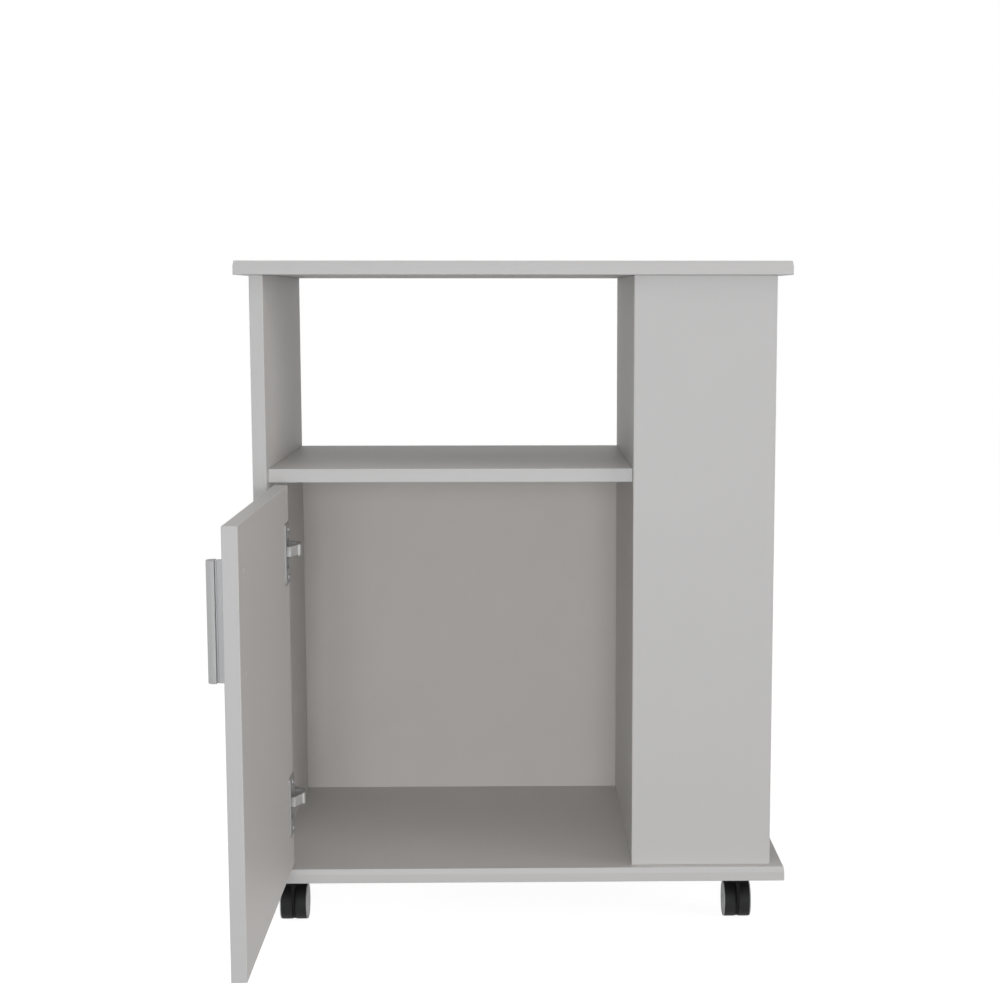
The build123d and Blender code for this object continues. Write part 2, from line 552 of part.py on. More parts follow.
for level, z in HINGE_HEIGHTS.items():
    cup_centre = Vector(DOOR_EDGE_X + CUP_FROM_EDGE, DOOR_BACK_CLOSED, z)
    inwards = Y_AXIS * -1
    mouth = cup_centre + Y_AXIS * FLANGE_T
    flange = block((cup_centre.X - FLANGE_WIDTH / 2, DOOR_BACK_CLOSED, z - FLANGE_HEIGHT / 2),
                   (cup_centre.X + FLANGE_WIDTH / 2, DOOR_BACK_CLOSED + FLANGE_T, z + FLANGE_HEIGHT / 2))
    flange = fillet(flange.edges().filter_by(Axis.Y), FLANGE_CORNER_R)
    cup = flange + rod(cup_centre, inwards, CUP_DEPTH, CUP_R)
    cup = cup - rod(mouth, inwards, FLANGE_T + CUP_DEPTH - CUP_FLOOR_T, CUP_R - CUP_WALL)
    door_cuts.append(rod(cup_centre, inwards, CUP_DEPTH + FIT_CLEARANCE, CUP_R + FIT_CLEARANCE))
    screws = []
    for side in (-1, 1):
        seat = mouth + Z_AXIS * (side * CUP_SCREW_SPACING / 2)
        screws.append(headed_screw(
            seat, inwards, CUP_SCREW_R, CUP_SCREW_LENGTH, CUP_SCREW_HEAD_R, CUP_SCREW_HEAD_T))
        hole = rod(seat, inwards, CUP_SCREW_LENGTH + FIT_CLEARANCE, CUP_SCREW_R + RUN_CLEARANCE)
        cup = cup - hole
        door_cuts.append(hole)
    pin_offset = cup_centre.X - CUP_PIN_CLOSED.X
    cavity_radius = CUP_R - CUP_WALL
    pin_half = (cavity_radius**2 - (pin_offset + PIN_R)**2) ** 0.5 - RUN_CLEARANCE
    cup_pin = rod(CUP_PIN_CLOSED + Z_AXIS * (z - pin_half), Z_AXIS, 2 * pin_half, PIN_R)
    door_solids.setdefault("hinge_cup_screws", []).extend(screws)
    door_solids[f"{level}_hinge_cup"] = [cup]
    door_solids[f"{level}_hinge_cup_pin"] = [cup_pin]

    add(f"{level}_hinge_link", make_link(z))
    add(f"{level}_hinge_arm", make_arm(z))
    pin_length = ARM_WIDTH - 2 * FIT_CLEARANCE
    pin_start = ARM_PIN + Z_AXIS * (z - pin_length / 2)
    add(f"{level}_hinge_arm_pin", rod(pin_start, Z_AXIS, pin_length, PIN_R))
    plate, wing_y = make_plate(z)
    for side in (-1, 1):
        seat = Vector(LEFT_INNER + PLATE_T, wing_y, z + side * PLATE_SCREW_SPACING / 2)
        add("hinge_plate_screws", headed_screw(
            seat, X_AXIS * -1, PLATE_SCREW_R, PLATE_SCREW_LENGTH, PLATE_SCREW_HEAD_R, PLATE_SCREW_HEAD_T))
        hole = rod(seat, X_AXIS * -1, PLATE_SCREW_LENGTH + FIT_CLEARANCE, PLATE_SCREW_R + RUN_CLEARANCE)
        plate = plate - hole
        cut("left_side_panel", hole)
    arm_screw_seat = Vector(LEFT_INNER + ARM_TAIL_OUT, wing_y, z)
    add("hinge_arm_screws", headed_screw(
        arm_screw_seat, X_AXIS * -1, ARM_SCREW_R, ARM_SCREW_LENGTH, ARM_SCREW_HEAD_R, ARM_SCREW_HEAD_T))
    plate = plate - rod(arm_screw_seat, X_AXIS * -1, ARM_SCREW_LENGTH + FIT_CLEARANCE,
                        ARM_SCREW_R + RUN_CLEARANCE)
    add(f"{level}_hinge_plate", plate)

for tool in door_cuts:
    door_solids["door_panel"][0] = door_solids["door_panel"][0] - tool
for name, solids in door_solids.items():
    add(name, *[open_door * solid for solid in solids])


# Casters

def make_caster_plate():
    """The square top plate and its raised swivel seat, with the swivel axis at the origin."""
    half = CASTER_PLATE_SIZE / 2
    plate = block((-half, -half, CASTER_HEIGHT - CASTER_PLATE_T), (half, half, CASTER_HEIGHT))
    plate = fillet(plate.edges().filter_by(Axis.Z), CASTER_PLATE_CORNER_R)
    seat = rod(Vector(0, 0, CASTER_HEIGHT - CASTER_PLATE_T), Z_AXIS * -1, CASTER_BOSS_T, CASTER_BOSS_R)
    return plate + seat - rod(Vector(0, 0, 0), Z_AXIS, CASTER_HEIGHT, KINGPIN_R)


CROWN_TOP = CASTER_HEIGHT - CASTER_PLATE_T - CASTER_BOSS_T - SWIVEL_GAP
CROWN_LOW = CROWN_TOP - YOKE_CROWN_T
AXLE_POINT = Vector(0, CASTER_TRAIL, WHEEL_R)


def make_yoke():
    """The swivel crown and the web between the wheels."""
    half = YOKE_WEB_T / 2
    crown = rod(Vector(0, 0, CROWN_LOW), Z_AXIS, YOKE_CROWN_T, YOKE_CROWN_R)
    web = rod(AXLE_POINT - X_AXIS * half, X_AXIS, YOKE_WEB_T, YOKE_WEB_R)
    stem = block((-half, -YOKE_STEM_REACH, AXLE_POINT.Z), (half, YOKE_STEM_REACH, CROWN_LOW))
    yoke = crown + web + stem
    relief_r = KINGPIN_HEAD_R + KINGPIN_HEAD_CLEARANCE
    relief_low = CROWN_LOW - KINGPIN_HEAD_T - KINGPIN_HEAD_CLEARANCE
    yoke = yoke - rod(Vector(0, 0, relief_low), Z_AXIS, CROWN_LOW - relief_low, relief_r)
    yoke = yoke - rod(Vector(0, 0, CROWN_LOW), Z_AXIS, YOKE_CROWN_T, KINGPIN_R + RUN_CLEARANCE)
    return yoke - rod(AXLE_POINT - X_AXIS * half, X_AXIS, YOKE_WEB_T, AXLE_R + RUN_CLEARANCE)


def make_kingpin():
    """The headed rivet that holds the crown up to the plate."""
    shank = rod(Vector(0, 0, CROWN_LOW - SWIVEL_GAP), Z_AXIS, CASTER_HEIGHT - CROWN_LOW + SWIVEL_GAP,
                KINGPIN_R)
    head = rod(Vector(0, 0, CROWN_LOW - SWIVEL_GAP), Z_AXIS * -1, KINGPIN_HEAD_T, KINGPIN_HEAD_R)
    return shank + head


def make_wheel(side):
    """One wheel of the pair, and the hub cap that covers its outer face."""
    inner = YOKE_WEB_T / 2 + WHEEL_GAP
    axis = X_AXIS * side
    start = AXLE_POINT + axis * inner
    rim_width = WHEEL_WIDTH - HUB_CAP_T
    wheel = rod(start, axis, rim_width, WHEEL_R)
    wheel = fillet(wheel.edges().filter_by(GeomType.CIRCLE), WHEEL_EDGE_RADIUS)
    wheel = wheel - rod(start, axis, rim_width, AXLE_R)
    cap_start = start + axis * rim_width
    cap = rod(cap_start, axis, HUB_CAP_T, HUB_CAP_R)
    dish = rod(cap_start + axis * (HUB_CAP_T - HUB_CAP_DISH), axis, HUB_CAP_DISH,
               HUB_CAP_R - HUB_CAP_RIM_T)
    boss = rod(cap_start, axis, HUB_CAP_T, HUB_CAP_BOSS_R)
    return wheel, cap - dish + boss


def make_axle():
    """The plain axle through the web and both wheels."""
    half = YOKE_WEB_T / 2 + WHEEL_GAP + WHEEL_WIDTH - AXLE_RECESS
    return rod(AXLE_POINT - X_AXIS * half, X_AXIS, 2 * half, AXLE_R)


caster_x = TOP_WIDTH / 2 - CASTER_SIDE_INSET
caster_places = {
    "front_left": (-caster_x, BOARD_FRONT + CASTER_END_INSET),
    "front_right": (caster_x, BOARD_FRONT + CASTER_END_INSET),
    "rear_left": (-caster_x, BOARD_FRONT + TOP_DEPTH - CASTER_END_INSET),
    "rear_right": (caster_x, BOARD_FRONT + TOP_DEPTH - CASTER_END_INSET),
}
for corner, (x, y) in caster_places.items():
    place = Pos(x, y, 0)
    plate = place * make_caster_plate()
    for side_x in (-1, 1):
        for side_y in (-1, 1):
            seat = Vector(x + side_x * CASTER_SCREW_SPACING / 2, y + side_y * CASTER_SCREW_SPACING / 2,
                          CASTER_HEIGHT - CASTER_PLATE_T)
            screw_length = CASTER_PLATE_T + CASTER_SCREW_BITE
            add("caster_screws", headed_screw(
                seat, Z_AXIS, CASTER_SCREW_R, screw_length, CASTER_SCREW_HEAD_R, CASTER_SCREW_HEAD_T))
            hole = rod(seat, Z_AXIS, screw_length + FIT_CLEARANCE, CASTER_SCREW_R + RUN_CLEARANCE)
            plate = plate - hole
            cut("base_board", hole)
    add(f"{corner}_caster_plate", plate)
    add(f"{corner}_caster_yoke", place * make_yoke())
    add(f"{corner}_caster_axle", place * make_axle())
    add("caster_kingpins", place * make_kingpin())
    for side in (-1, 1):
        wheel, cap = make_wheel(side)
        add(f"{corner}_caster_wheels", place * wheel)
        add(f"{corner}_caster_hub_caps", place * cap)


# Cut the boards and write the nodes

for name, tools in cuts.items():
    nodes[name] = [nodes[name][0] - tools]

os.makedirs("parts", exist_ok=True)
for name, solids in nodes.items():
    export_step(Compound(label=name, children=[s for solid in solids for s in solid.solids()]),
                f"parts/{name}.step")
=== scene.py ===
"""Looks of the microwave pantry cabinet, built round its solids.

Everything is in metres, in the cabinet's own frame: +X is its right, +Y its
rear and +Z up, with the floor at zero. Sizes that a maker would give in
millimetres are written so and multiplied by MM.
"""

import logging
import math
from dataclasses import dataclass
from enum import Enum
from typing import Optional

import bmesh
import bpy
import numpy as np
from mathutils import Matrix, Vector


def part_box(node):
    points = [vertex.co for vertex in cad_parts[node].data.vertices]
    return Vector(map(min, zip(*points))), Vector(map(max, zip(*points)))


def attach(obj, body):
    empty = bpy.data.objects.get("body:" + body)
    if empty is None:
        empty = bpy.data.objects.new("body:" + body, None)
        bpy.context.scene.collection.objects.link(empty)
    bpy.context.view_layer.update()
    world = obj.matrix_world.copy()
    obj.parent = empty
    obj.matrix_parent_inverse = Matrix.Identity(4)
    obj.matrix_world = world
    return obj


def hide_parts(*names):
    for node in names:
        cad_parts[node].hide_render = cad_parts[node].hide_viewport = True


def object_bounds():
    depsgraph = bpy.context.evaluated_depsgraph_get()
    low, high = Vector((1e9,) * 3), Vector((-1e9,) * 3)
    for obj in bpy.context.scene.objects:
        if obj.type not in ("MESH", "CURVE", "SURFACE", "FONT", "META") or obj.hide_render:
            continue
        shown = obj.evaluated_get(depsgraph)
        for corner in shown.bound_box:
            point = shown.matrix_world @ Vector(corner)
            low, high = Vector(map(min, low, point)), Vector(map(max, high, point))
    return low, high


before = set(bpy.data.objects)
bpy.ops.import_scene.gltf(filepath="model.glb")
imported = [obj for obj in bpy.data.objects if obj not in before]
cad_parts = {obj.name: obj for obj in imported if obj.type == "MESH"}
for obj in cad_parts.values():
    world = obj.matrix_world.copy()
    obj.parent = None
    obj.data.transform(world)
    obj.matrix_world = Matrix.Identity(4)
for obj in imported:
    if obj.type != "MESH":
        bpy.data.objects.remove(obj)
CAD_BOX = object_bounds()

MM = 0.001
MICRON = MM * MM
# Points nearer than the first are merged, and edges under the second dropped.
MERGE_MM = 0.002
SLIVER_MM = 0.001
# Edges that turn more than the first stay crisp, and faces that turn less than
# the second become one.
SHARP_DEGREES = 38.0
FLAT_DEGREES = 0.5
EDGE_SEGMENTS = 2
LOG = logging.getLogger("cabinet")

X_AXIS = np.array((1.0, 0.0, 0.0))
Y_AXIS = np.array((0.0, 1.0, 0.0))
Z_AXIS = np.array((0.0, 0.0, 1.0))


class Slot(Enum):
    """The material slots of the record."""

    BOARD = "white_board"
    HARDBOARD = "white_hardboard"
    CAP = "white_plastic"
    HANDLE = "handle_aluminium"
    HINGE = "hinge_steel"
    FASTENER = "fastener_steel"
    PIN = "pin_steel"
    DOWEL = "dowel_beech"
    CASTER_PLATE = "caster_plate_steel"
    CASTER = "caster_black_plastic"
    HUB_CAP = "hub_cap_grey_plastic"


class Corner(Enum):
    """The cabinet's four casters."""

    FRONT_LEFT = "front_left"
    FRONT_RIGHT = "front_right"
    REAR_LEFT = "rear_left"
    REAR_RIGHT = "rear_right"


class Level(Enum):
    """The door's two hinges."""

    UPPER = "upper"
    LOWER = "lower"


class Drive(Enum):
    """What a fastener's head is turned by."""

    CROSS = "cross"
    NONE = "none"


def linear(hex_colour: str) -> tuple[float, float, float, float]:
    """Turn an sRGB hex colour into linear light.

    Args:
        hex_colour: six hex digits after a hash sign.

    Returns:
        Red, green, blue and an alpha of one.
    """
    digits = hex_colour.lstrip("#")
    coded = np.array([int(digits[i:i + 2], 16) for i in (0, 2, 4)]) / 255.0
    light = np.where(coded <= 0.04045, coded / 12.92, ((coded + 0.055) / 1.055) ** 2.4)
    return (*(float(value) for value in light), 1.0)


def shade(hex_colour: str, factor: float) -> tuple[float, float, float, float]:
    """Return a hex colour in linear light, made lighter or darker by a factor."""
    red, green, blue, alpha = linear(hex_colour)
    return (red * factor, green * factor, blue * factor, alpha)


class Nodes:
    """A node tree with one way to add a node."""

    def __init__(self, tree: bpy.types.NodeTree) -> None:
        """Start from an empty tree."""
        self.tree = tree
        self.tree.nodes.clear()

    def add(self, kind: str, inputs: Optional[dict] = None, **settings) -> bpy.types.Node:
        """Add a node, set its properties and sockets, and link it.

        Args:
            kind: the node's type.
            inputs: socket names or numbers, with a value or another node's output.
            settings: properties of the node.

        Returns:
            The new node.
        """
        node = self.tree.nodes.new(kind)
        for name, value in settings.items():
            setattr(node, name, value)
        for name, value in (inputs or {}).items():
            if isinstance(value, bpy.types.NodeSocket):
                self.tree.links.new(value, node.inputs[name])
            else:
                node.inputs[name].default_value = value
        return node


@dataclass(frozen=True)
class Finish:
    """A surface with a fine grain that shows in its height, gloss and tone."""

    name: str
    colour: str
    roughness: float
    grain_mm: float
    relief_mm: float
    metallic: float = 0.0
    ior: float = 1.5
    specular: float = 0.5
    gloss_spread: float = 0.05
    tone_spread: float = 0.03
    tone_mm: float = 60.0
    grain_detail: float = 3.0
    grain_roughness: float = 0.55
    grain_range: tuple[float, float] = (0.3, 0.7)
    tone_detail: float = 2.0
    stretch: tuple[float, float, float] = (1.0, 1.0, 1.0)

    def build(self) -> bpy.types.Material:
        """Make the material.

        The grain's noise raises the surface and spreads its gloss to both
        sides of the roughness, and a wider noise shifts its tone.

        Returns:
            A material that reads Object coordinates only.
        """
        material = bpy.data.materials.new(self.name)
        material.use_nodes = True
        nodes = Nodes(material.node_tree)
        place = nodes.add("ShaderNodeTexCoord").outputs["Object"]
        lay = nodes.add("ShaderNodeMapping", {"Vector": place, "Scale": self.stretch}).outputs["Vector"]
        grain = nodes.add("ShaderNodeTexNoise", {
            "Vector": lay, "Scale": 1.0 / (self.grain_mm * MM), "Detail": self.grain_detail,
            "Roughness": self.grain_roughness}).outputs[0]
        cloud = nodes.add("ShaderNodeTexNoise", {
            "Vector": place, "Scale": 1.0 / (self.tone_mm * MM), "Detail": self.tone_detail}).outputs[0]
        tone = nodes.add("ShaderNodeMix", {
            0: cloud, 6: shade(self.colour, 1.0 - self.tone_spread),
            7: shade(self.colour, 1.0 + self.tone_spread)}, data_type="RGBA").outputs[2]
        gloss = nodes.add("ShaderNodeMapRange", {
            "Value": grain, "From Min": self.grain_range[0], "From Max": self.grain_range[1],
            "To Min": self.roughness - self.gloss_spread,
            "To Max": self.roughness + self.gloss_spread}).outputs[0]
        bump = nodes.add("ShaderNodeBump", {
            "Height": grain, "Distance": self.relief_mm * MM, "Strength": 1.0}).outputs[0]
        shader = nodes.add("ShaderNodeBsdfPrincipled", {
            "Base Color": self.tint(nodes, place, tone), "Roughness": gloss, "Metallic": self.metallic,
            "IOR": self.ior, "Specular IOR Level": self.specular, "Normal": bump})
        nodes.add("ShaderNodeOutputMaterial", {"Surface": shader.outputs[0]})
        return material

    def tint(self, nodes: Nodes, place: bpy.types.NodeSocket,
             tone: bpy.types.NodeSocket) -> bpy.types.NodeSocket:
        """Return the colour, here just the drifting tone."""
        return tone


@dataclass(frozen=True)
class FacedBoard(Finish):
    """A board with pressed melamine faces and a thin plastic band round its edges.

    The glue line between face and band is a faint hairline just inside each
    edge, about 0.1 mm wide in truth and drawn wider so that it shows.
    """

    low: tuple[float, float, float] = (0.0, 0.0, 0.0)
    high: tuple[float, float, float] = (0.0, 0.0, 0.0)
    line_inset_mm: float = 1.3
    line_width_mm: float = 0.5
    line_depth: float = 0.10
    band_lift: float = 0.02

    def tint(self, nodes: Nodes, place: bpy.types.NodeSocket,
             tone: bpy.types.NodeSocket) -> bpy.types.NodeSocket:
        """Darken the glue line and lift the band outside it.

        The distance to the nearest edge is the least of the four distances to
        the board's sides, measured in its own plane.

        Args:
            nodes: the material's tree.
            place: Object coordinates.
            tone: the colour of the face.

        Returns:
            The colour with the line and the band.
        """
        sizes = np.array(self.high) - np.array(self.low)
        flat = [axis for axis in range(3) if axis != int(sizes.argmin())]
        parts = nodes.add("ShaderNodeSeparateXYZ", {0: place}).outputs
        distances = []
        for axis in flat:
            distances.append(nodes.add("ShaderNodeMath", {
                0: parts[axis], 1: self.low[axis]}, operation="SUBTRACT").outputs[0])
            distances.append(nodes.add("ShaderNodeMath", {
                0: self.high[axis], 1: parts[axis]}, operation="SUBTRACT").outputs[0])
        nearest = distances[0]
        for distance in distances[1:]:
            nearest = nodes.add("ShaderNodeMath", {0: nearest, 1: distance}, operation="MINIMUM").outputs[0]
        inset = self.line_inset_mm * MM
        half_line = self.line_width_mm * MM / 2
        line = nodes.add("ShaderNodeMath", {
            0: nearest, 1: inset, 2: half_line}, operation="COMPARE").outputs[0]
        band = nodes.add("ShaderNodeMath", {0: nearest, 1: inset}, operation="LESS_THAN").outputs[0]
        lined = nodes.add("ShaderNodeMix", {
            0: line, 6: tone, 7: shade(self.colour, 1.0 - self.line_depth)}, data_type="RGBA").outputs[2]
        return nodes.add("ShaderNodeMix", {
            0: band, 6: lined, 7: shade(self.colour, 1.0 + self.band_lift)}, data_type="RGBA").outputs[2]


# White melamine: printed paper pressed hot on particle board against a fine
# pearl plate. Even and matt, with a soft wide highlight and a faint pebble,
# about 0.5 mm in truth and drawn at 1.6 mm.
MELAMINE = dict(colour="#D1CFCD", roughness=0.52, grain_mm=1.6, relief_mm=0.012, ior=1.5,
                gloss_spread=0.06, tone_spread=0.012, tone_mm=90.0)

FINISHES: dict[Slot, Finish] = {
    # Hardboard with a white printed face: fibres pressed flat, so the sheet is even but rougher than the
    # boards. Its warmer tint is painted light, standing in for the warm glow at the back of the cupboard.
    Slot.HARDBOARD: Finish("white_hardboard", "#D6D0CB", 0.6, 2.4, 0.02, tone_spread=0.02, tone_mm=45.0),
    # Moulded polypropylene caps, matt from the spark-eroded mould.
    Slot.CAP: Finish("moulded_white_polypropylene", "#D2D2D0", 0.48, 0.8, 0.01, ior=1.49),
    # Extruded aluminium, etched and anodised matt: the milky oxide scatters
    # most of the light, and die lines run its length.
    Slot.HANDLE: Finish("matt_anodised_aluminium", "#BEBDBC", 0.6, 0.5, 0.006, metallic=0.25,
                        gloss_spread=0.06, stretch=(1.0, 1.0, 0.03)),
    # Pressed steel with dull nickel plate: rolled smooth, with a faint grain
    # along the strip.
    Slot.HINGE: Finish("nickel_plated_pressed_steel", "#9A9A99", 0.5, 0.4, 0.005, metallic=0.4,
                       gloss_spread=0.06, stretch=(1.0, 0.15, 1.0)),
    # Zinc plate with clear passivation: slightly cloudy and bluish.
    Slot.FASTENER: Finish("zinc_plated_steel", "#A2A4A8", 0.42, 0.6, 0.01, metallic=0.7,
                          tone_spread=0.06, tone_mm=4.0),
    # Bright drawn steel rod: smooth, with clear reflections.
    Slot.PIN: Finish("drawn_steel", "#B8B8B8", 0.3, 0.5, 0.006, metallic=1.0),
    # Fluted beech dowel: warm and matt, with small flecks.
    Slot.DOWEL: Finish("beech", "#C9A478", 0.62, 0.9, 0.03, tone_spread=0.12, tone_mm=3.0),
    # Zinc-plated pressing, cloudier than the screws.
    Slot.CASTER_PLATE: Finish("zinc_plated_pressing", "#B4B6B9", 0.4, 0.7, 0.012, metallic=1.0,
                              tone_spread=0.07, tone_mm=7.0),
    # Black nylon, injection moulded: deep grey with a low sheen and a fine
    # eroded texture on the running surface.
    Slot.CASTER: Finish("moulded_black_nylon", "#1E1E1E", 0.65, 0.7, 0.02, ior=1.45, specular=0.3,
                        gloss_spread=0.07, tone_spread=0.08, tone_mm=9.0),
    # Grey polypropylene hub caps, lightly textured.
    Slot.HUB_CAP: Finish("moulded_grey_polypropylene", "#B0B0B0", 0.46, 0.8, 0.012, ior=1.49),
}

# The pull's screws have lacquered heads, so that they hardly show on the door's
# inner face.
LACQUER = Finish("white_lacquered_steel", "#CFCDCB", 0.5, 0.6, 0.006, tone_spread=0.012, tone_mm=20.0)

# The hinges' links are the arms' plated steel painted lighter: this is painted light, which makes up for the
# shade that the links lie in.
LINK = Finish("link_steel_painted_lighter", "#C4C4C2", 0.5, 0.4, 0.005, metallic=0.25,
              gloss_spread=0.06, stretch=(1.0, 0.15, 1.0))

# The casters' forks are the same nylon from a coarser, duller mould; their darker colour is painted shade,
# standing in for the shadow under the base board.
FORK = Finish("black_nylon_fork_painted_shade", "#121212", 0.75, 0.9, 0.02, ior=1.45, specular=0.2,
              tone_spread=0.08, tone_mm=9.0)


def node_box(name: str) -> tuple[np.ndarray, np.ndarray]:
    """Return the lowest and highest corner of a solid's node."""
    low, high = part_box(name)
    return np.array(low), np.array(high)


def solid_boxes(name: str) -> list[tuple[np.ndarray, np.ndarray]]:
    """Find the box of each separate solid in a node.

    Corners at one place share a number, and every triangle passes the least
    number of its corners on to all three until nothing changes.

    Args:
        name: the node.

    Returns:
        The lowest and highest corner of each solid.
    """
    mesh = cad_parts[name].data
    points = np.empty(len(mesh.vertices) * 3)
    mesh.vertices.foreach_get("co", points)
    points = points.reshape(-1, 3)
    corners = np.empty(len(mesh.loops), dtype=np.int64)
    mesh.loops.foreach_get("vertex_index", corners)
    keys = np.round(points / MICRON).astype(np.int64)
    place = np.unique(keys, axis=0, return_inverse=True)[1].reshape(-1)
    triangles = place[corners].reshape(-1, 3)
    label = np.arange(place.max() + 1)
    while True:
        least = label[triangles].min(axis=1)
        spread = label.copy()
        np.minimum.at(spread, triangles.ravel(), np.repeat(least, 3))
        spread = spread[spread]
        if (spread == label).all():
            break
        label = spread
    owner = label[place]
    return [(points[owner == one].min(axis=0), points[owner == one].max(axis=0)) for one in np.unique(owner)]


def unit(vectors: np.ndarray) -> np.ndarray:
    """Scale vectors to a length of one."""
    return vectors / np.linalg.norm(vectors, axis=-1, keepdims=True)


def rounded_outline(corners: np.ndarray, radii: np.ndarray, steps: int) -> np.ndarray:
    """Round every corner of a closed outline with an arc.

    The arc's centre lies on the corner's bisector at the radius divided by the
    sine of the half angle, and its points step evenly between the two points
    where it touches the sides.

    Args:
        corners: the outline's corners, in order.
        radii: one radius for each corner.
        steps: points on each arc.

    Returns:
        The points of the rounded outline, in order.
    """
    to_last = unit(np.roll(corners, 1, axis=0) - corners)
    to_next = unit(np.roll(corners, -1, axis=0) - corners)
    half = 0.5 * np.arccos(np.clip((to_last * to_next).sum(axis=1), -1.0, 1.0))
    centres = corners + unit(to_last + to_next) * (radii / np.sin(half))[:, None]
    reach = (radii / np.tan(half))[:, None]
    start = corners + to_last * reach - centres
    end = corners + to_next * reach - centres
    first = np.arctan2(start[:, 1], start[:, 0])
    sweep = (np.arctan2(end[:, 1], end[:, 0]) - first + math.pi) % (2 * math.pi) - math.pi
    angles = first[:, None] + sweep[:, None] * np.linspace(0.0, 1.0, steps)
    arcs = np.stack((np.cos(angles), np.sin(angles)), axis=-1) * radii[:, None, None]
    return (centres[:, None, :] + arcs).reshape(-1, 2)


def shrink(outline: np.ndarray, inset: float) -> np.ndarray:
    """Move each point of a counter-clockwise outline inwards along its normal."""
    along = unit(np.roll(outline, -1, axis=0) - np.roll(outline, 1, axis=0))
    return outline + np.stack((-along[:, 1], along[:, 0]), axis=-1) * inset


def revolve(profile: np.ndarray, centre: np.ndarray, axis: np.ndarray, steps: int) -> np.ndarray:
    """Carry a profile round an axis.

    A point at radius r and height h goes to the centre plus h along the axis
    plus r times the unit circle that is square to it.

    Args:
        profile: rows of radius and height.
        centre: where the height is zero.
        axis: the direction of the height.
        steps: points round the axis.

    Returns:
        A grid of points, profile by angle.
    """
    helper = Z_AXIS if abs(axis[2]) < 0.5 else X_AXIS
    across = unit(np.cross(axis, helper))
    up = np.cross(axis, across)
    angles = np.linspace(0.0, 2 * math.pi, steps, endpoint=False)
    circle = np.cos(angles)[:, None] * across + np.sin(angles)[:, None] * up
    return centre + profile[:, 1, None, None] * axis + profile[:, 0, None, None] * circle


class Shell:
    """Collects grids of points and closes them into one mesh."""

    def __init__(self) -> None:
        """Start with no points."""
        self.points: list[np.ndarray] = []
        self.faces: list[list[int]] = []
        self.size = 0

    def add(self, grid: np.ndarray, wrap_rows: bool = False, caps: bool = False) -> "Shell":
        """Join a grid's neighbours with four-sided faces.

        Args:
            grid: points by row and column; the columns close on themselves.
            wrap_rows: whether the last row joins the first.
            caps: whether the first and last row are filled.

        Returns:
            The shell itself.
        """
        rows, columns = grid.shape[:2]
        index = np.arange(rows * columns).reshape(rows, columns) + self.size
        if caps:
            self.faces += [index[0].tolist(), index[-1][::-1].tolist()]
        if wrap_rows:
            index = np.vstack((index, index[:1]))
        index = np.hstack((index, index[:, :1]))
        quads = np.stack((index[:-1, :-1], index[:-1, 1:], index[1:, 1:], index[1:, :-1]), axis=-1)
        self.faces += quads.reshape(-1, 4).tolist()
        self.points.append(grid.reshape(-1, 3))
        self.size += rows * columns
        return self

    def build(self, name: str, sharp_degrees: float = SHARP_DEGREES) -> bpy.types.Object:
        """Make the object, with its poles merged and its faces pointing outwards.

        Args:
            name: the object's name.
            sharp_degrees: edges that turn more than this stay crisp.

        Returns:
            The object, at the origin.
        """
        mesh = bpy.data.meshes.new(name)
        mesh.from_pydata(np.concatenate(self.points), [], self.faces)
        return finish_mesh(name, mesh, sharp_degrees)


def finish_mesh(name: str, mesh: bpy.types.Mesh, sharp_degrees: float,
                flat_degrees: float = 0.0) -> bpy.types.Object:
    """Merge a mesh's doubles, turn its faces outwards and make its object.

    Args:
        name: the object's name.
        mesh: the mesh to finish.
        sharp_degrees: edges that turn more than this stay crisp.
        flat_degrees: neighbours that turn less than this become one face.

    Returns:
        The linked object.
    """
    work = bmesh.new()
    work.from_mesh(mesh)
    bmesh.ops.remove_doubles(work, verts=work.verts, dist=MERGE_MM * MM)
    bmesh.ops.dissolve_degenerate(work, edges=work.edges, dist=SLIVER_MM * MM)
    if flat_degrees:
        bmesh.ops.dissolve_limit(work, angle_limit=math.radians(flat_degrees),
                                 verts=work.verts, edges=work.edges)
    bmesh.ops.recalc_face_normals(work, faces=work.faces)
    work.to_mesh(mesh)
    work.free()
    mesh.polygons.foreach_set("use_smooth", np.ones(len(mesh.polygons), dtype=bool))
    mesh.set_sharp_from_angle(angle=math.radians(sharp_degrees))
    piece = bpy.data.objects.new(name, mesh)
    bpy.context.scene.collection.objects.link(piece)
    return piece


